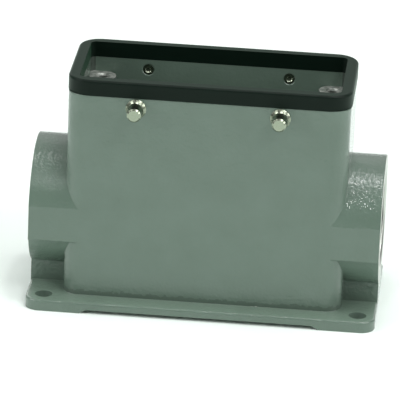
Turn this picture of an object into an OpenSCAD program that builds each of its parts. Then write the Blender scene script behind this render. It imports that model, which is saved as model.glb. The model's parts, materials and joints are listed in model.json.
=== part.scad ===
// Base housing of a heavy duty rectangular connector: a die-cast box on a bolted
// flange, open at the top for the contact insert, with a threaded cable entry at
// each end, a rubber rim gasket and four riveted locking pegs.
// Millimetres. +X runs along the housing, +Z up. The origin lies in the plane of
// the mounting feet, at the centre of the flange.

/* [Flange] */
// Length of the flange
flange_l = 117; // [115:0.5:125]
// Width of the flange
flange_w = 57; // [55:0.5:65]
// Thickness of the flange over its feet
flange_t = 3.8; // [3.4:0.1:5]
// Radius of the flange's corners in plan
flange_corner_r = 5; // [3:0.5:6]
// Radius of the rounded upper edge
flange_edge_r = 0.8; // [0.4:0.1:1]
// Distance between the mounting holes along the housing
hole_pitch_x = 105; // [103:0.5:106]
// Distance between the mounting holes across the housing
hole_pitch_y = 45; // [44:0.5:46]
// Diameter of a mounting hole
hole_d = 5.8; // [4.5:0.1:6]
// Height of the relief under the flange, between the feet
relief_h = 1.3; // [0.8:0.1:1.6]
// Length of the relief at the height of the feet
relief_l = 80; // [70:0.5:84]

/* [Box] */
// Outer length of the box
box_l = 93.4; // [92:0.2:95]
// Outer width of the box
box_w = 42.5; // [42:0.1:43.5]
// Radius of the box's upright corners
box_corner_r = 5.5; // [5:0.1:6.5]
// Height of the cast rim above the feet
rim_z = 74.6; // [74.6:0.2:80]
// Thickness of the box's walls
wall_t = 3.4; // [3:0.1:3.6]
// Height of the box's floor above the feet
floor_z = 5; // [4.5:0.1:8]

/* [Cable entries] */
// Radius of the round entry boss
entry_r = 21.65; // [21.5:0.05:22.5]
// Height of the entry's axis above the feet
entry_z = 30; // [29:0.2:33]
// Height at which the flush side of the entry boss ends
entry_flat_z = 22; // [21:0.2:24]
// Radius of the ledge under the flush side
entry_ledge_r = 0.7; // [0.4:0.1:1]
// Diameter of the entry's bore, at the root of its M32 x 1.5 thread
entry_bore_d = 32; // [31:0.1:32.2]
// Width of the chamfer at the mouth of the bore
entry_chamfer = 0.5; // [0.3:0.1:0.9]
// Length of the threaded bore from the end face
entry_thread_l = 13; // [11:0.5:14]
// Clearance radius behind the thread, inside the box
entry_relief_r = 16.6; // [16.2:0.1:17.2]
// Width of the web under each entry boss
web_w = 20; // [16:0.5:24]

/* [Insert fixing] */
// Distance between the fixing screws along the housing
insert_pitch_x = 77.5; // [77:0.1:78]
// Distance between the fixing screws across the housing
insert_pitch_y = 27; // [26.6:0.1:27.4]
// Height of the fixing pillars' machined tops
pillar_z = 69.5; // [66:0.1:71]
// Radius of a fixing pillar
pillar_r = 4.6; // [4.4:0.1:5]
// Core diameter of the M4 fixing thread
screw_core_d = 3.3; // [3.2:0.05:3.4]
// Depth of the fixing thread
screw_depth = 14; // [8:0.5:18]
// Width of the lead-in chamfer of the fixing thread
screw_chamfer = 0.7; // [0.3:0.1:0.9]

/* [Rim gasket] */
// Width of the gasket across the rim
gasket_w = 3.75; // [3.75:0.05:4.2]
// Height of the gasket above the cast rim
gasket_h = 5.3; // [4.5:0.1:6]
// Distance that the gasket stands proud of the box
gasket_proud = 0.25; // [0.05:0.05:0.3]
// Radius of the gasket's corners in plan
gasket_corner_r = 7.5; // [6.5:0.1:8]
// Radius of the gasket's upper outer edge
gasket_edge_r = 0.9; // [0.3:0.1:1.2]
// Thickness of the tongue that holds the gasket
tongue_t = 1.4; // [1:0.1:1.8]
// Height of the tongue above the rim
tongue_h = 2.6; // [2:0.1:3]

/* [Locking pegs] */
// Distance between the pegs along the housing
peg_pitch = 47.6; // [44:0.2:52]
// Height of the pegs' axes above the feet
peg_z = 70.9; // [70:0.1:70.9]
// Radius of the collar where it meets the box
collar_r = 3.6; // [3.3:0.05:3.65]
// Height of the collar
collar_h = 1.5; // [1:0.1:2]
// Radius of the peg's bearing length
peg_r = 2.35; // [2:0.05:2.5]
// Reach of the peg from the face of the box
peg_reach = 6.8; // [5:0.1:8]
// Radius of the shank in the wall
shank_r = 1.5; // [1.4:0.05:1.6]
// Radius of the riveted head on the inside
rivet_r = 1.85; // [1.8:0.05:2.1]

/* [Hidden] */
$fn = 96;
paint = "#708277";
rubber = "#20282b";
steel = "#c9cdc2";
over = 1;
end_x = flange_l / 2;
side = box_w / 2;
cavity_l = box_l - 2 * wall_t;
cavity_w = box_w - 2 * wall_t;
cavity_corner_r = box_corner_r - wall_t;
flange_band = flange_corner_r - 1;
relief_ramp = 2.4;
boss_start = box_l / 2 - box_corner_r - over;
flush_step = 0.01;
boss_side = side - flush_step;
web_top = entry_z - entry_r + 4;
pillar_inner_x = insert_pitch_x / 2 - pillar_r - 1;
pillar_fill = pillar_r + 0.2;
gasket_l = box_l + 2 * gasket_proud;
gasket_side_l = box_w + 2 * gasket_proud;
gasket_lip = gasket_w - gasket_proud - wall_t;
gasket_band = 2;
tongue_inset = (wall_t - tongue_t) / 2;
tongue_corner_r = (box_corner_r + gasket_corner_r) / 2 - tongue_inset;
peg_chamfer = 0.4;
collar_edge_r = 0.7;
collar_fillet_r = 0.45;
rivet_sink = 0.25;
rivet_cone = rivet_r - shank_r + rivet_sink;
rivet_bore_r = 1.1;
rivet_bore_depth = 0.9;

// Plan of a rectangle with rounded corners, centred on the origin.
module rounded_rect(length, width, radius) {
    square([length - 2 * radius, width], center = true);
    square([length, width - 2 * radius], center = true);
    for (sx = [-1, 1], sy = [-1, 1])
        translate([sx * (length / 2 - radius), sy * (width / 2 - radius)])
            circle(radius);
}

// Upright prism on a rounded rectangle, from z0 to z1.
module rounded_prism(length, width, radius, z0, z1) {
    translate([0, 0, z0])
        linear_extrude(z1 - z0)
            rounded_rect(length, width, radius);
}

// Carries a section round a rounded rectangle. The section's X is the distance
// in from the outline and its Y is the height.
module strip(length, width, radius) {
    run_x = length - 2 * radius;
    run_y = width - 2 * radius;
    for (turn = [0, 180])
        rotate(turn) {
            translate([-run_x / 2, -width / 2, 0])
                rotate([90, 0, 90])
                    linear_extrude(run_x)
                        children();
            translate([length / 2, -run_y / 2, 0])
                rotate([90, 0, 180])
                    linear_extrude(run_y)
                        children();
            for (turn_corner = [0, -90])
                translate([run_x / 2, (turn_corner == 0 ? 1 : -1) * run_y / 2, 0])
                    rotate(turn_corner)
                        rotate_extrude(angle = 90)
                            translate([radius, 0])
                                mirror([1, 0])
                                    children();
        }
}

// Repeats its children at the four corners of a rectangle.
module at_corners(pitch_x, pitch_y) {
    for (sx = [0, 1], sy = [0, 1])
        mirror([sx, 0, 0])
            mirror([0, sy, 0])
                translate([pitch_x / 2, pitch_y / 2, 0])
                    children();
}

// Repeats its children at both ends of the housing.
module at_ends() {
    for (sx = [0, 1])
        mirror([sx, 0, 0])
            children();
}

// Cylinder along the housing between two distances from its middle, on the
// axis of the cable entries.
module entry_cylinder(x0, x1, r0, r1) {
    translate([x0, 0, entry_z])
        rotate([0, 90, 0])
            cylinder(r1 = r0, r2 = r1, h = x1 - x0);
}

// Flange with a rounded upper edge, relieved between its feet.
module flange() {
    difference() {
        union() {
            strip(flange_l, flange_w, flange_corner_r) {
                square([flange_band, flange_t - flange_edge_r]);
                translate([flange_edge_r, 0])
                    square([flange_band - flange_edge_r, flange_t]);
                translate([flange_edge_r, flange_t - flange_edge_r])
                    circle(flange_edge_r);
            }
            rounded_prism(flange_l - 2 * flange_band, flange_w - 2 * flange_band,
                flange_corner_r - flange_band, 0, flange_t);
        }
        translate([0, flange_w / 2 + over, 0])
            rotate([90, 0, 0])
                linear_extrude(flange_w + 2 * over)
                    polygon([
                        [-relief_l / 2 - relief_ramp, -relief_h],
                        [relief_l / 2 + relief_ramp, -relief_h],
                        [relief_l / 2 - relief_ramp, relief_h],
                        [-relief_l / 2 + relief_ramp, relief_h]
                    ]);
        at_corners(hole_pitch_x, hole_pitch_y)
            translate([0, 0, -over])
                cylinder(d = hole_d, h = flange_t + 2 * over);
    }
}

// Section of an entry boss across the housing: round above and below, with
// sides flush with the box that end in a small rounded ledge.
module entry_section() {
    translate([0, entry_z])
        intersection() {
            circle(entry_r);
            square([2 * boss_side, 2 * entry_r + over], center = true);
        }
    translate([-boss_side, entry_flat_z + entry_ledge_r])
        square([2 * boss_side, entry_z - entry_flat_z - entry_ledge_r]);
    translate([entry_ledge_r - boss_side, entry_flat_z])
        square([2 * (boss_side - entry_ledge_r), entry_z - entry_flat_z]);
    for (sx = [-1, 1])
        translate([sx * (boss_side - entry_ledge_r), entry_flat_z + entry_ledge_r])
            circle(entry_ledge_r);
}

// Entry boss and the web that carries it, at the +X end.
module entry_boss() {
    translate([boss_start, 0, 0])
        rotate([90, 0, 90])
            linear_extrude(end_x - boss_start)
                entry_section();
    translate([boss_start, -web_w / 2, relief_h])
        cube([end_x - boss_start, web_w, web_top - relief_h]);
}

// Bore of an entry at the root of its thread, with its mouth chamfer and the
// clearance behind it.
module entry_bore() {
    thread_x = end_x - entry_thread_l;
    bore_r = entry_bore_d / 2;
    entry_cylinder(pillar_inner_x, thread_x, entry_relief_r, entry_relief_r);
    entry_cylinder(thread_x - over, end_x + over, bore_r, bore_r);
    entry_cylinder(end_x - entry_chamfer, end_x + over, bore_r,
        bore_r + entry_chamfer + over);
}

// Fixing pillar in a corner of the box, with the corner behind it filled.
module pillar() {
    translate([0, 0, floor_z - over])
        linear_extrude(pillar_z - floor_z + over) {
            circle(pillar_r);
            square(pillar_fill);
        }
}

// Threaded hole in the top of a pillar, with a lead-in chamfer.
module pillar_hole() {
    core_r = screw_core_d / 2;
    translate([0, 0, pillar_z - screw_depth])
        cylinder(r = core_r, h = screw_depth + over);
    translate([0, 0, pillar_z - screw_chamfer])
        cylinder(r1 = core_r, r2 = core_r + screw_chamfer + over,
            h = screw_chamfer + over);
}

// Hole for a peg through a side wall, flared on the inside for the rivet. The
// hole runs up from the outer face at z = 0.
module peg_hole() {
    translate([0, 0, -over])
        cylinder(r = shank_r, h = wall_t + 2 * over);
    translate([0, 0, wall_t - rivet_cone])
        cylinder(r1 = shank_r, r2 = shank_r + rivet_cone + over,
            h = rivet_cone + over);
}

// Die-cast housing.
module housing() {
    color(paint)
        difference() {
            union() {
                difference() {
                    union() {
                        flange();
                        rounded_prism(box_l, box_w, box_corner_r, relief_h, rim_z);
                        at_ends()
                            entry_boss();
                    }
                    rounded_prism(cavity_l, cavity_w, cavity_corner_r, floor_z,
                        rim_z + over);
                }
                at_corners(insert_pitch_x, insert_pitch_y)
                    pillar();
                translate([0, 0, rim_z])
                    linear_extrude(tongue_h)
                        rim_tongue_plan();
            }
            at_ends()
                entry_bore();
            at_corners(insert_pitch_x, insert_pitch_y)
                pillar_hole();
            for (sx = [-1, 1], sy = [-1, 1])
                translate([sx * peg_pitch / 2, sy * side, peg_z])
                    rotate([sy * 90, 0, 0])
                        peg_hole();
        }
}

// Plan of the tongue that stands on the rim and holds the gasket.
module rim_tongue_plan() {
    tongue_in = tongue_inset + tongue_t;
    difference() {
        rounded_rect(box_l - 2 * tongue_inset, box_w - 2 * tongue_inset,
            tongue_corner_r);
        rounded_rect(box_l - 2 * tongue_in, box_w - 2 * tongue_in,
            tongue_corner_r - tongue_t);
    }
}

// Plan of the gasket from inside its rounded outer edge to its inner face,
// which follows the cavity.
module gasket_plan() {
    inset = gasket_band / 2;
    difference() {
        rounded_rect(gasket_l - 2 * inset, gasket_side_l - 2 * inset,
            gasket_corner_r - inset);
        rounded_rect(cavity_l - 2 * gasket_lip, cavity_w - 2 * gasket_lip,
            cavity_corner_r - gasket_lip);
    }
}

// Rubber gasket pushed over the tongue, with a rounded outer edge that stands a
// little proud of the box.
module rim_gasket() {
    color(rubber)
        translate([0, 0, rim_z])
            difference() {
                union() {
                    linear_extrude(gasket_h)
                        gasket_plan();
                    strip(gasket_l, gasket_side_l, gasket_corner_r) {
                        square([gasket_band, gasket_h - gasket_edge_r]);
                        translate([gasket_edge_r, 0])
                            square([gasket_band - gasket_edge_r, gasket_h]);
                        translate([gasket_edge_r, gasket_h - gasket_edge_r])
                            circle(gasket_edge_r);
                    }
                }
                translate([0, 0, -over])
                    linear_extrude(tongue_h + over)
                        rim_tongue_plan();
            }
}

// Turned locking peg: shank and hollow riveted end below z = 0, collar and
// bearing pin above it.
module peg() {
    rivet_face = rivet_sink - wall_t;
    color(steel)
        rotate_extrude() {
            polygon([
                [0, rivet_face + rivet_bore_depth],
                [rivet_bore_r, rivet_face],
                [rivet_r, rivet_face],
                [shank_r, rivet_cone - wall_t],
                [shank_r, 0],
                [peg_r, 0],
                [peg_r, peg_reach - peg_chamfer],
                [peg_r - peg_chamfer, peg_reach],
                [0, peg_reach]
            ]);
            square([collar_r, collar_h - collar_edge_r]);
            square([collar_r - collar_edge_r, collar_h]);
            translate([collar_r - collar_edge_r, collar_h - collar_edge_r])
                circle(collar_edge_r);
            difference() {
                translate([peg_r - over, collar_h - over])
                    square(collar_fillet_r + over);
                translate([peg_r + collar_fillet_r, collar_h + collar_fillet_r])
                    circle(collar_fillet_r);
            }
        }
}

// Peg in its wall: sx picks the left or right one, sy the front or rear wall.
module placed_peg(sx, sy) {
    translate([sx * peg_pitch / 2, sy * side, peg_z])
        rotate([-sy * 90, 0, 0])
            peg();
}

module peg_front_left() {
    placed_peg(-1, -1);
}

module peg_front_right() {
    placed_peg(1, -1);
}

module peg_rear_left() {
    placed_peg(-1, 1);
}

module peg_rear_right() {
    placed_peg(1, 1);
}

housing();
rim_gasket();
peg_front_left();
peg_front_right();
peg_rear_left();
peg_rear_right();
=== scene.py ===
# %% [markdown]
# # Base housing of a heavy duty rectangular connector
#
# The real object is one aluminium die casting with a coat of grey-green
# textured enamel. A black rubber gasket is pushed over its rim, and four
# turned pegs are riveted into its side walls for the locking levers of the
# hood.
#
# The solid model is loaded as a fixed frame. It holds the true sizes, so every
# piece made here takes its place from it, in metres.

import json
import math

import bpy
from mathutils import Matrix, Vector


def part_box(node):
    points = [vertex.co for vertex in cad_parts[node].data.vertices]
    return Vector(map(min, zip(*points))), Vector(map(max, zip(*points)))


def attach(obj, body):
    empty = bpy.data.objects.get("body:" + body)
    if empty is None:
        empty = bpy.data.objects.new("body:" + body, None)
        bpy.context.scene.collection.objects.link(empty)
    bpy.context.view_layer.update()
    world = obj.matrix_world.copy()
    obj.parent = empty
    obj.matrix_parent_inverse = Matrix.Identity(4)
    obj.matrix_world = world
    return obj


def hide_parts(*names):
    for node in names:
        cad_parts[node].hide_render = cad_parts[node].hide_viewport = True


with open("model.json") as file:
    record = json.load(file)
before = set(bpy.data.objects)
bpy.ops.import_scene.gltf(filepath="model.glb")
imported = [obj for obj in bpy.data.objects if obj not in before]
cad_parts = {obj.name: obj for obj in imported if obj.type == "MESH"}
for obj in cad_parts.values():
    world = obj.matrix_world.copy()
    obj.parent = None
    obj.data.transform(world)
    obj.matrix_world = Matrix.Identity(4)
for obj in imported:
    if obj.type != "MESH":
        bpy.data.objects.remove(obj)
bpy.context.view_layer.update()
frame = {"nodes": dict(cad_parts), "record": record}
print("nodes:", sorted(frame["nodes"]))

MM = 0.001

# %% [markdown]
# ## Camera
#
# The view is taken with a long lens from a little above and almost square on.
# It could be placed by hand, but naming its angles keeps the view repeatable:
# azimuth round the object, elevation above the floor, and a small roll because
# the camera was not quite level.

# %% Camera
VIEW_AZIMUTH = math.radians(4.541)
VIEW_ELEVATION = math.radians(21.277)
VIEW_ROLL = math.radians(2.261)
VIEW_DISTANCE = 1.4209
VIEW_TARGET = Vector((-0.00322, 0, 0.03224))
LENS_MM = 380.97


def direction(azimuth, elevation):
    """Unit vector from the object towards something seen at those angles."""
    return Vector((
        math.sin(azimuth) * math.cos(elevation),
        -math.cos(azimuth) * math.cos(elevation),
        math.sin(elevation),
    ))


toward_camera = direction(VIEW_AZIMUTH, VIEW_ELEVATION)
level_right = (-toward_camera).cross(Vector((0, 0, 1))).normalized()
level_up = level_right.cross(-toward_camera)
view_right = level_right * math.cos(VIEW_ROLL) + level_up * math.sin(VIEW_ROLL)
view_up = level_up * math.cos(VIEW_ROLL) - level_right * math.sin(VIEW_ROLL)

camera_data = bpy.data.cameras.new("camera")
camera_data.lens = LENS_MM
camera_data.sensor_width = 36
camera_data.clip_start = 0.05
camera_data.clip_end = 20
camera = bpy.data.objects.new("camera", camera_data)
bpy.context.collection.objects.link(camera)
turn = Matrix((view_right, view_up, toward_camera)).transposed()
camera.matrix_world = (
    Matrix.Translation(VIEW_TARGET + toward_camera * VIEW_DISTANCE)
    @ turn.to_4x4()
)
bpy.context.scene.camera = camera
print("camera at", [round(c, 3) for c in camera.location])

# %% [markdown]
# ## Sizes that the pieces and finishes need
#
# The holes, threads and pegs are stated in the model's record as mounts, so
# their places and radii are read from there instead of being typed again.

# %% Sizes from the model
mounts = {mount["name"]: mount for mount in frame["record"]["mounts"]}
housing_low, housing_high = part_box("housing")
gasket_low, gasket_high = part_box("rim_gasket")

end_x = housing_high.x
entry_z = mounts["cable_entry_right"]["pos_m"][2]
entry_r = mounts["cable_entry_right"]["dims"]["r_mm"] * MM
screw_pitch_x = mounts["insert_screws"]["dims"]["spacing_x_mm"] * MM
screw_pitch_y = mounts["insert_screws"]["dims"]["spacing_y_mm"] * MM
screw_r = mounts["insert_screws"]["dims"]["hole_r_mm"] * MM
peg_x, _, peg_z = mounts["peg_pin_front_right"]["pos_m"]
peg_r = mounts["peg_pin_front_right"]["dims"]["r_mm"] * MM
print("housing length", housing_high.x - housing_low.x)
print("gasket height", gasket_high.z - gasket_low.z)
print("entry bore radius", entry_r, "at height", entry_z)
print("peg radius", peg_r, "at", peg_x, peg_z)

# %% [markdown]
# ## Working by operators
#
# Each new piece starts as a primitive and is shaped in edit mode. An operator
# acts on everything that is selected, so the first step is always to deselect
# all. A turned or threaded piece starts as a single point: it is pushed out
# step by step into the line of its profile, which is then swept round an
# axis.

# %% Helpers for modelling
def deselect_all():
    bpy.ops.object.select_all(action="DESELECT")


def draw_profile(name, points, closed=False):
    """A new object with a line of edges through the points."""
    deselect_all()
    bpy.ops.mesh.primitive_plane_add(size=MM, location=(0, 0, 0))
    piece = bpy.context.object
    piece.name = name
    piece.data.name = name
    bpy.ops.object.mode_set(mode="EDIT")
    bpy.ops.mesh.select_mode(type="VERT")
    bpy.ops.mesh.select_all(action="SELECT")
    bpy.ops.mesh.merge(type="CENTER")
    bpy.ops.transform.translate(value=points[0])
    for start, stop in zip(points, points[1:]):
        step = Vector(stop) - Vector(start)
        bpy.ops.mesh.extrude_vertices_move(
            TRANSFORM_OT_translate={"value": step})
    if closed:
        bpy.ops.mesh.select_all(action="SELECT")
        bpy.ops.mesh.edge_face_add()
        bpy.ops.mesh.delete(type="ONLY_FACE")
    bpy.ops.object.mode_set(mode="OBJECT")
    print(name, "profile:", len(piece.data.vertices), "points")
    return piece


def clean_surface(piece, smooth_angle):
    """Merge doubles, turn the normals out and smooth the shallow edges."""
    deselect_all()
    piece.select_set(True)
    bpy.context.view_layer.objects.active = piece
    bpy.ops.object.mode_set(mode="EDIT")
    bpy.ops.mesh.select_all(action="SELECT")
    bpy.ops.mesh.remove_doubles(threshold=0.002 * MM)
    bpy.ops.mesh.normals_make_consistent(inside=False)
    bpy.ops.object.mode_set(mode="OBJECT")
    bpy.ops.object.shade_smooth_by_angle(angle=math.radians(smooth_angle))
    print(piece.name, "faces:", len(piece.data.polygons))


def place_copy(piece, name, shift, turn_axis=None, turn_angle=0):
    """A copy with its own mesh, turned, moved and left with no transform."""
    deselect_all()
    piece.select_set(True)
    bpy.context.view_layer.objects.active = piece
    bpy.ops.object.duplicate(linked=False)
    copy = bpy.context.object
    copy.name = name
    copy.data.name = name
    spin = Matrix.Identity(4)
    if turn_axis:
        spin = Matrix.Rotation(turn_angle, 4, turn_axis)
    copy.matrix_world = Matrix.Translation(shift) @ spin
    bpy.ops.object.transform_apply(location=True, rotation=True, scale=True)
    return copy


# %% [markdown]
# ## Thread of the cable entries
#
# A cable gland screws into each entry on an M32 thread with a 1.5 mm pitch.
# The solid model has a plain bore at the root of the thread. The ridge that
# stands in from it is a helix, which could be faked with a bumpy shader, but a
# real ridge keeps its steps where the bore is seen at a slant. The Screw
# modifier carries a small trapezium round the axis and along it at the same
# time.

# %% Entry threads
THREAD_PITCH = 1.5 * MM
THREAD_DEPTH = 0.81 * MM
THREAD_TURNS = 7.5
THREAD_START = end_x - 12.3 * MM
THREAD_STEPS = 540
SHALLOW_EDGE = 30
THREAD_SINK = 0.03 * MM
crest_half = THREAD_PITCH / 8
root_half = THREAD_PITCH * 7 / 16
crest_z = entry_r - THREAD_DEPTH
root_z = entry_r + THREAD_SINK
ridge_section = [
    (-root_half, 0, root_z),
    (-crest_half, 0, crest_z),
    (crest_half, 0, crest_z),
    (root_half, 0, root_z),
]
thread = draw_profile("entry_thread", ridge_section, closed=True)
screw = thread.modifiers.new("helix", "SCREW")
screw.axis = "X"
screw.angle = THREAD_TURNS * math.tau
screw.screw_offset = THREAD_TURNS * THREAD_PITCH
screw.iterations = 1
screw.steps = THREAD_STEPS
bpy.ops.object.modifier_apply(modifier=screw.name)
bpy.ops.object.mode_set(mode="EDIT")
bpy.ops.mesh.select_all(action="DESELECT")
bpy.ops.mesh.select_mode(type="EDGE")
bpy.ops.mesh.select_non_manifold()
bpy.ops.mesh.fill()
bpy.ops.object.mode_set(mode="OBJECT")
clean_surface(thread, SHALLOW_EDGE)

right_thread = place_copy(
    thread, "entry_thread_right", (THREAD_START, 0, entry_z))
left_thread = place_copy(
    thread, "entry_thread_left", (-THREAD_START, 0, entry_z), "Z", math.pi)
bpy.data.objects.remove(thread)
for piece in (right_thread, left_thread):
    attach(piece, "root")
    xs = [corner.co.x / MM for corner in piece.data.vertices]
    print(piece.name, "from", round(min(xs), 2), "to", round(max(xs), 2), "mm")

# %% [markdown]
# ## Locking pegs
#
# The levers of the hood hook over these pegs. Each is turned from steel bar: a
# collar that slopes up to the peg, a plain bearing length and a chamfered tip.
# Its shank goes through the wall and is riveted over inside. The solid model
# has the same peg with a flat collar. The slope is worth a finer piece,
# because a turned cone shows each lamp as a small glint. A spin of the profile
# gives the same turned form that the lathe does.

# %% Locking pegs
PEG_REACH = 6.8 * MM
COLLAR_R = 3.4 * MM
COLLAR_RIM = 0.3 * MM
COLLAR_H = COLLAR_RIM + COLLAR_R - peg_r
NECK_FILLET = 0.25 * MM
TIP_CHAMFER = 0.5 * MM
SHANK_R = 1.5 * MM
RIVET_R = 1.85 * MM
RIVET_H = 0.6 * MM
RIVET_BORE_R = 1.1 * MM
RIVET_BORE_DEPTH = 0.9 * MM
TURN_STEPS = 72

peg_low, peg_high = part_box("peg_front_right")
peg_seat = peg_low.y + PEG_REACH
inner_end = peg_high.y - peg_seat
peg_section = [
    (0, inner_end - RIVET_BORE_DEPTH, 0),
    (RIVET_BORE_R, inner_end, 0),
    (RIVET_R, inner_end, 0),
    (SHANK_R, inner_end - RIVET_H, 0),
    (SHANK_R, 0, 0),
    (COLLAR_R, 0, 0),
    (COLLAR_R, -COLLAR_RIM, 0),
    (peg_r + NECK_FILLET, -COLLAR_H + NECK_FILLET, 0),
    (peg_r + NECK_FILLET * 0.3, -COLLAR_H - NECK_FILLET * 0.1, 0),
    (peg_r, -COLLAR_H - NECK_FILLET, 0),
    (peg_r, -PEG_REACH + TIP_CHAMFER, 0),
    (peg_r - TIP_CHAMFER, -PEG_REACH, 0),
    (0, -PEG_REACH, 0),
]
peg = draw_profile("locking_peg", peg_section)
bpy.ops.object.mode_set(mode="EDIT")
bpy.ops.mesh.select_all(action="SELECT")
bpy.ops.mesh.spin(
    steps=TURN_STEPS, angle=math.tau, center=(0, 0, 0), axis=(0, 1, 0))
bpy.ops.object.mode_set(mode="OBJECT")
clean_surface(peg, SHALLOW_EDGE)
pegs = []
for side_name, side, half_turn in (("front", 1, 0), ("rear", -1, math.pi)):
    for hand_name, hand in (("right", 1), ("left", -1)):
        piece = place_copy(
            peg, f"turned_peg_{side_name}_{hand_name}",
            (hand * peg_x, side * peg_seat, peg_z), "Z", half_turn)
        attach(piece, "root")
        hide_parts(f"peg_{side_name}_{hand_name}")
        pegs.append(piece)
bpy.data.objects.remove(peg)
print(len(pegs), "pegs, seat at", round(peg_seat / MM, 2), "mm")

# %% [markdown]
# ## Helpers for materials
#
# Colours are written as the hex codes a designer would pick on a screen, and a
# small function turns them into the linear values that the shader needs. Each
# node is added with its settings and links in one call. Patterns are worked
# out in real millimetres from the object's own coordinates, so they stay put
# in every view.

# %% Helpers for materials
def srgb(code):
    """Linear colour of a hex code such as "#708277"."""
    channels = [int(code[i:i + 2], 16) / 255 for i in (1, 3, 5)]
    linear = [
        c / 12.92 if c <= 0.04045 else ((c + 0.055) / 1.055) ** 2.4
        for c in channels
    ]
    return (*linear, 1)


def add_node(tree, kind, links=None, **settings):
    """A node of that kind, with its settings and its links.

    A setting is a property of the node or a socket named without spaces. A
    link's key is the name or number of a socket, and its value is a socket to
    link from, or a number or colour to put there.
    """
    node = tree.nodes.new("ShaderNode" + kind)
    for name, value in settings.items():
        if hasattr(node, name):
            setattr(node, name, value)
        else:
            node.inputs[name.replace("_", " ")].default_value = value
    for socket, source in (links or {}).items():
        if isinstance(source, (int, float, tuple)):
            node.inputs[socket].default_value = source
        else:
            tree.links.new(source, node.inputs[socket])
    return node


def new_material(name):
    material = bpy.data.materials.new(name)
    material.use_nodes = True
    material.node_tree.nodes.clear()
    return material, material.node_tree


def set_material(piece, *materials):
    piece.data.materials.clear()
    for material in materials:
        piece.data.materials.append(material)


# %% [markdown]
# ## Masks
#
# A mask is a value that is 1 in one region of the surface and 0 elsewhere. It
# is worked out from where a point lies, with the same sizes as the model, so
# its edge falls exactly on the real edge.

# %% Helpers for masks
def object_place(tree):
    """Object coordinates, and how far a point is across x, across y and up."""
    place = add_node(tree, "TexCoord").outputs["Object"]
    xyz = add_node(tree, "SeparateXYZ", {"Vector": place}).outputs
    across = [
        add_node(tree, "Math", {0: xyz[axis]}, operation="ABSOLUTE").outputs[0]
        for axis in ("X", "Y")
    ]
    return place, *across, xyz["Z"]


def distance_from(tree, *coordinates):
    """Distance from an axis, given (value, centre) for the two across it."""
    steps = [
        add_node(tree, "Math", {0: value, 1: centre}, operation="SUBTRACT")
        for value, centre in coordinates
    ]
    links = {number: step.outputs[0] for number, step in enumerate(steps)}
    flat = add_node(tree, "CombineXYZ", links)
    length = add_node(
        tree, "VectorMath", {0: flat.outputs[0]}, operation="LENGTH")
    return length.outputs["Value"]


def region(tree, *ranges):
    """Mask of the points where every value is between its low and high."""
    tests = []
    for value, low, high in ranges:
        tests += [(value, low)] if low is not None else []
        tests += [(high, value)] if high is not None else []
    mask = 1.0
    for larger, smaller in tests:
        over = add_node(
            tree, "Math", {0: larger, 1: smaller}, operation="GREATER_THAN")
        mask = add_node(
            tree, "Math", {0: mask, 1: over.outputs[0]},
            operation="MULTIPLY").outputs[0]
    return mask


def union(tree, first, *others):
    """Mask of the points that are in any of the regions."""
    for other in others:
        first = add_node(
            tree, "Math", {0: first, 1: other}, operation="MAXIMUM").outputs[0]
    return first


# %% [markdown]
# ## Enamel and bare metal of the housing
#
# The casting is sprayed with a baked enamel that dries to a fine orange-peel
# grain. After painting, the end faces, the entry bores and the tops of the
# four fixing pillars are machined, so bare aluminium shows there with the fine
# rings that the tool leaves.
#
# Painting the bare places as separate pieces would leave seams. One material
# with masks is used instead: they turn the colour, the metalness and the
# roughness from paint to metal.

# %% Machined faces
HAIR = 0.05 * MM
BOSS_R = 22.4 * MM
BORE_DEPTH = 13.4 * MM
BORE_WALL = 0.9 * MM
PILLAR_TOP = 69.5 * MM
CAVITY_HALF_X = 43.2 * MM
CAVITY_HALF_Y = 17.75 * MM
SCREW_BOTTOM = 50 * MM
SCREW_WALL = 0.75 * MM
OVERSPRAY_SIZE = 1.6 * MM

enamel, tree = new_material("grey_green_textured_enamel")
place, across_x, across_y, height = object_place(tree)
entry_radius = distance_from(tree, (across_y, 0.0), (height, entry_z))
end_face = region(
    tree, (entry_radius, None, BOSS_R), (across_x, end_x - HAIR, None))
in_bore = region(
    tree, (entry_radius, None, entry_r + BORE_WALL),
    (across_x, end_x - BORE_DEPTH, None))
screw_radius = distance_from(
    tree, (across_x, screw_pitch_x / 2), (across_y, screw_pitch_y / 2))
pillar_top = region(
    tree, (across_x, None, CAVITY_HALF_X), (across_y, None, CAVITY_HALF_Y),
    (height, PILLAR_TOP - HAIR, PILLAR_TOP + HAIR))
in_screw_hole = region(
    tree, (screw_radius, None, screw_r + SCREW_WALL),
    (height, SCREW_BOTTOM, PILLAR_TOP + HAIR))
print("bare end faces within", round(BOSS_R / MM, 2), "mm of the bore's axis")

# %% [markdown]
# The tops of the pillars are only half scraped clean, so the metal there is
# broken up by patches of overspray.

# %% Scraped pillars and all bare metal
overspray_and_shade_noise = add_node(
    tree, "TexNoise", {"Vector": place}, Scale=1 / OVERSPRAY_SIZE, Detail=3)
scraped = add_node(
    tree, "MapRange", {"Value": overspray_and_shade_noise.outputs["Fac"]},
    From_Min=0.42, From_Max=0.6, To_Min=0.2, To_Max=0.75)
pillar = add_node(
    tree, "Math",
    {0: union(tree, pillar_top, in_screw_hole), 1: scraped.outputs[0]},
    operation="MULTIPLY").outputs[0]
bare = union(tree, end_face, in_bore, pillar)
print("metal masks so far:", len(tree.nodes), "nodes")

# %% [markdown]
# ## Where the coat differs, and painted shade and light
#
# A spray gun reaches the outside evenly, but little gets down inside the box,
# so the coat there is thin and dull, and its colour is darkened there as
# painted shade. Along the foot of the box a ragged darker band is painted
# shade, and the upward face of the flange is painted a little paler as painted
# light. These shades are set to look like the photograph.

# %% Regions of the coat
CAVITY_FLOOR = 4.9 * MM
FLANGE_TOP = 3.85 * MM
FOOT_SHADE_BAND = 1.5 * MM
BOX_HALF_X = 46.7 * MM
BOX_HALF_Y = 21.25 * MM
CORNER = 5.6 * MM

# Inside the box: no clear coat, and a darker colour that is painted shade.
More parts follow.
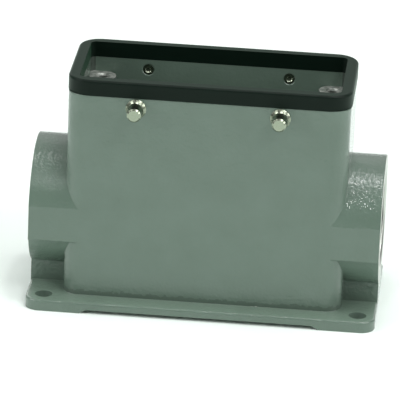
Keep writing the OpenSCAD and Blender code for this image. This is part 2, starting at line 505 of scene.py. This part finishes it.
inside = region(
    tree, (height, CAVITY_FLOOR, None),
    (across_x, None, CAVITY_HALF_X + HAIR),
    (across_y, None, CAVITY_HALF_Y + HAIR))
# Upward face of the flange: a paler colour that is painted light.
flange_painted_light = region(tree, (height, FLANGE_TOP - 2 * HAIR, FLANGE_TOP))
# Ragged band at the foot of the box: painted shade, with its top edge broken
# up by the same noise as the overspray.
ragged_shade_top = add_node(
    tree, "MapRange", {"Value": overspray_and_shade_noise.outputs["Fac"]},
    To_Min=FLANGE_TOP, To_Max=FLANGE_TOP + 2 * FOOT_SHADE_BAND)
foot = region(
    tree, (height, FLANGE_TOP, ragged_shade_top.outputs[0]),
    (across_y, BOX_HALF_Y - CORNER, None),
    (across_x, None, BOX_HALF_X + HAIR))
print("foot band up to", round((FLANGE_TOP + 2 * FOOT_SHADE_BAND) / MM, 2), "mm")

# %% Colour
PAINT = "#65786c"
PAINT_DEEP = "#5a6d60"
# Painted shade inside the box.
PAINT_INSIDE_SHADE = "#3f4a42"
# Painted shade along the foot of the box.
PAINT_FOOT_SHADE = "#4f5f54"
# Painted light on the upward face of the flange.
PAINT_FLANGE_LIGHT = "#708476"
ALUMINIUM = "#c9cdc6"
MOTTLE_SIZE = 9 * MM
FOOT_SHADE_STRENGTH = 0.65

mottle = add_node(
    tree, "TexNoise", {"Vector": place}, Scale=1 / MOTTLE_SIZE, Detail=4)
faint_foot_shade = add_node(
    tree, "Math", {0: foot, 1: FOOT_SHADE_STRENGTH}, operation="MULTIPLY")
# The inside, flange and foot layers paint shade and light into the colour.
layers = [
    (mottle.outputs["Fac"], PAINT),
    (inside, PAINT_INSIDE_SHADE),
    (flange_painted_light, PAINT_FLANGE_LIGHT),
    (faint_foot_shade.outputs[0], PAINT_FOOT_SHADE),
    (bare, ALUMINIUM),
]
colour = srgb(PAINT_DEEP)
for mask, code in layers:
    colour = add_node(
        tree, "Mix", {0: mask, 6: colour, 7: srgb(code)},
        data_type="RGBA").outputs[2]
print("paint", PAINT, "to", PAINT_DEEP, "and bare metal", ALUMINIUM)

# %% [markdown]
# ## Gloss and grain
#
# The pigment below scatters most of the light, and a clear skin of resin on
# top of it mirrors the lamps. The skin's orange-peel grain breaks each mirror
# image into glints, which show only where the round bosses turn towards a
# lamp. A single rough layer would blur them away, so the skin is a coat of its
# own with a sharper grain than the pigment has.
#
# The real grain is about half a millimetre across and the marks of the cutter
# about a tenth. Both are drawn twice as coarse, so that they show.

# %% Roughness
PAINT_ROUGHNESS = 0.40
CUT_ROUGHNESS = 0.33
SCRAPED_ROUGHNESS = 0.55

cut_or_paint = add_node(
    tree, "MapRange",
    {"Value": bare, "To Min": PAINT_ROUGHNESS, "To Max": CUT_ROUGHNESS})
roughness = add_node(
    tree, "MapRange",
    {"Value": pillar, "To Min": cut_or_paint.outputs[0],
     "To Max": SCRAPED_ROUGHNESS})
glossy = add_node(
    tree, "Math", {0: 1.0, 1: union(tree, bare, inside)},
    operation="SUBTRACT").outputs[0]
under_gloss = add_node(
    tree, "MapRange", {"Value": glossy, "To Min": 0.5, "To Max": 0.2})

# %% Grain and tool marks
GRAIN_SIZE = 1.1 * MM
PIGMENT_GRAIN = 0.08 * MM
GLOSS_GRAIN = 0.3 * MM
SOFT_EDGE = 0.35 * MM
TOOL_RING = 0.22 * MM
RING_DEPTH = 0.006 * MM
RING_STRENGTH = 0.4

grain = add_node(
    tree, "TexNoise", {"Vector": place}, Scale=1 / GRAIN_SIZE, Detail=2,
    Roughness=0.5)
turn_phase = add_node(
    tree, "Math", {0: entry_radius, 1: math.tau / TOOL_RING},
    operation="MULTIPLY")
rings = add_node(
    tree, "Math", {0: turn_phase.outputs[0]}, operation="SINE")
painted = add_node(
    tree, "Math", {0: 1.0, 1: bare}, operation="SUBTRACT")
ring_strength = add_node(
    tree, "Math", {0: bare, 1: RING_STRENGTH}, operation="MULTIPLY")
soft = add_node(tree, "Bevel", Radius=SOFT_EDGE, samples=6)
pigment_bump = add_node(
    tree, "Bump",
    {"Height": grain.outputs["Fac"], "Normal": soft.outputs["Normal"],
     "Strength": painted.outputs[0]},
    Distance=PIGMENT_GRAIN)
metal_bump = add_node(
    tree, "Bump",
    {"Height": rings.outputs[0], "Normal": pigment_bump.outputs["Normal"],
     "Strength": ring_strength.outputs[0]},
    Distance=RING_DEPTH)
gloss_bump = add_node(
    tree, "Bump",
    {"Height": grain.outputs["Fac"], "Normal": soft.outputs["Normal"]},
    Distance=GLOSS_GRAIN)

# %% Enamel shader
surface = add_node(
    tree, "BsdfPrincipled",
    {"Base Color": colour, "Metallic": bare,
     "Roughness": roughness.outputs[0],
     "Specular IOR Level": under_gloss.outputs[0],
     "Normal": metal_bump.outputs["Normal"],
     "Coat Weight": glossy, "Coat Normal": gloss_bump.outputs["Normal"]},
    Coat_Roughness=0.04)
add_node(tree, "OutputMaterial", {"Surface": surface.outputs["BSDF"]})
set_material(frame["nodes"]["housing"], enamel)
print("enamel nodes:", len(tree.nodes))

# %% [markdown]
# ## Bare aluminium of the threads
#
# A cut thread shows the bright alloy with slightly torn flanks. The tears are
# far too small to model, so they are a faint bump.

# %% Cut aluminium
TEAR_SIZE = 0.4 * MM
TEAR_DEPTH = 0.02 * MM

aluminium, tree = new_material("cut_aluminium")
place = object_place(tree)[0]
torn = add_node(
    tree, "TexNoise", {"Vector": place}, Scale=1 / TEAR_SIZE, Detail=3)
bump = add_node(
    tree, "Bump", {"Height": torn.outputs["Fac"]}, Strength=0.3,
    Distance=TEAR_DEPTH)
surface = add_node(
    tree, "BsdfPrincipled",
    {"Base Color": srgb(ALUMINIUM), "Normal": bump.outputs["Normal"]},
    Metallic=1.0, Roughness=0.3)
add_node(tree, "OutputMaterial", {"Surface": surface.outputs["BSDF"]})
for piece in (right_thread, left_thread):
    set_material(piece, aluminium)
print("threads in", aluminium.name)

# %% [markdown]
# ## Rubber of the rim gasket
#
# The gasket is moulded in black nitrile rubber. It is nearly black seen square
# on, and a fine bloom on its skin gives the top a pale greenish sheen at a
# slant. A plain dark paint would be as dark on top as on the side, so the
# bloom is a sheen, which shows only at a slant. The low index of refraction
# stands for a skin that is too rough to mirror the white floor.

# %% Moulded rubber
SKIN_GRAIN = 0.8 * MM
SKIN_DEPTH = 0.02 * MM
BLOOM_SIZE = 6 * MM

rubber, tree = new_material("moulded_nitrile_rubber")
place = object_place(tree)[0]
skin = add_node(
    tree, "TexNoise", {"Vector": place}, Scale=1 / SKIN_GRAIN, Detail=3)
bump = add_node(
    tree, "Bump", {"Height": skin.outputs["Fac"]}, Strength=0.3,
    Distance=SKIN_DEPTH)
bloom = add_node(
    tree, "TexNoise", {"Vector": place}, Scale=1 / BLOOM_SIZE, Detail=3)
dark = add_node(
    tree, "Mix",
    {0: bloom.outputs["Fac"], 6: srgb("#031009"), 7: srgb("#05150e")},
    data_type="RGBA")
surface = add_node(
    tree, "BsdfPrincipled",
    {"Base Color": dark.outputs[2], "Normal": bump.outputs["Normal"]},
    Roughness=0.45, IOR=1.26, Sheen_Weight=0.075, Sheen_Roughness=0.5,
    Sheen_Tint=srgb("#a4f0c0"))
add_node(tree, "OutputMaterial", {"Surface": surface.outputs["BSDF"]})
set_material(frame["nodes"]["rim_gasket"], rubber)
print("gasket in", rubber.name)

# %% [markdown]
# ## Plated steel of the pegs
#
# The pegs are turned on an automatic lathe and nickel plated. The plating is
# dull enough to blur the lamps into soft glints, and the feed of the tool
# leaves very fine rings, drawn here about twice as coarse as they are.

# %% Turned steel
PEG_RING = 0.18 * MM
PEG_RING_DEPTH = 0.001 * MM

steel, tree = new_material("turned_nickel_plated_steel")
_, across_x, _, height = object_place(tree)
peg_radius = distance_from(tree, (across_x, peg_x), (height, peg_z))
turn_phase = add_node(
    tree, "Math", {0: peg_radius, 1: math.tau / PEG_RING},
    operation="MULTIPLY")
rings = add_node(
    tree, "Math", {0: turn_phase.outputs[0]}, operation="SINE")
bump = add_node(
    tree, "Bump", {"Height": rings.outputs[0]}, Strength=0.2,
    Distance=PEG_RING_DEPTH)
surface = add_node(
    tree, "BsdfPrincipled",
    {"Base Color": srgb("#9ba391"), "Normal": bump.outputs["Normal"]},
    Metallic=1.0, Roughness=0.24)
add_node(tree, "OutputMaterial", {"Surface": surface.outputs["BSDF"]})
for piece in pegs:
    set_material(piece, steel)
print("pegs in", steel.name)

# %% [markdown]
# ## Floor
#
# The object stands on a sheet of white studio paper. It is lit brightly enough
# to print as plain white, and it throws soft light up at the object.

# %% Floor
FLOOR_SIZE = 8

deselect_all()
bpy.ops.mesh.primitive_plane_add(size=FLOOR_SIZE, location=(0, 0, 0))
floor = bpy.context.object
floor.name = "floor"
paper, tree = new_material("white_studio_paper")
surface = add_node(
    tree, "BsdfPrincipled", {"Base Color": srgb("#f3fcf7")}, Roughness=0.7)
add_node(tree, "OutputMaterial", {"Surface": surface.outputs["BSDF"]})
set_material(floor, paper)
print("floor", FLOOR_SIZE, "m wide")

# %% [markdown]
# ## Light
#
# A product like this is shot in a tent of white cloth with lamps all round it,
# which leaves no hard shadow. Large softboxes stand for the cloth. Their
# powers balance so that the front is even, the undersides of the bosses fall
# off and the floor goes white. The two small spots make the rows of glints on
# the bosses, which a large softbox would smear into a band. One even white
# world would be simpler, but it would flatten the round bosses.

# %% Light
def softbox(name, azimuth, elevation, distance, size, power):
    """Square area lamp that faces the middle of the object."""
    data = bpy.data.lights.new(name, "AREA")
    data.shape = "SQUARE"
    data.size = size
    data.energy = power
    lamp = bpy.data.objects.new(name, data)
    bpy.context.collection.objects.link(lamp)
    away = direction(math.radians(azimuth), math.radians(elevation))
    centre = Vector((0, 0, entry_z))
    lamp.matrix_world = (
        Matrix.Translation(centre + away * distance)
        @ away.to_track_quat("Z", "Y").to_matrix().to_4x4()
    )


# Name, azimuth and elevation in degrees, distance and size in m, power in W.
LAMPS = [
    ("overhead", 90, 82, 1.3, 0.55, 4.8),
    ("overhead_spot", 90, 82, 1.5, 0.1, 2.2),
    ("right_front_high", 45, 50, 1.4, 0.5, 5.6),
    ("right_high", 90, 50, 1.4, 0.5, 2.6),
    ("left_high", -90, 50, 1.4, 0.5, 4.0),
    ("left_front_high", -45, 50, 1.4, 0.5, 1.1),
    ("front_high", -6, 48, 1.4, 0.06, 1.5),
    ("back_high", 180, 50, 1.4, 1.3, 2.5),
    ("left_low", -60, 20, 1.4, 0.5, 4.8),
    ("right_low", 70, 20, 1.4, 0.5, 3.5),
    ("back_right_low", 150, 20, 1.4, 0.5, 1.1),
    ("back_left_low", -150, 20, 1.4, 0.5, 1.6),
    ("back_panel", 180, 18, 1.5, 1.2, 1.1),
]
for name, azimuth, elevation, distance, size, power in LAMPS:
    softbox(name, azimuth, elevation, distance, size, power)
print(len(LAMPS), "softboxes,", round(sum(lamp[5] for lamp in LAMPS), 1), "W")

WORLD_STRENGTH = 0.145
world = bpy.data.worlds.new("light_tent")
bpy.context.scene.world = world
world.use_nodes = True
background = world.node_tree.nodes["Background"]
background.inputs["Color"].default_value = (1, 1, 1, 1)
background.inputs["Strength"].default_value = WORLD_STRENGTH
bpy.context.scene.view_settings.view_transform = "Standard"
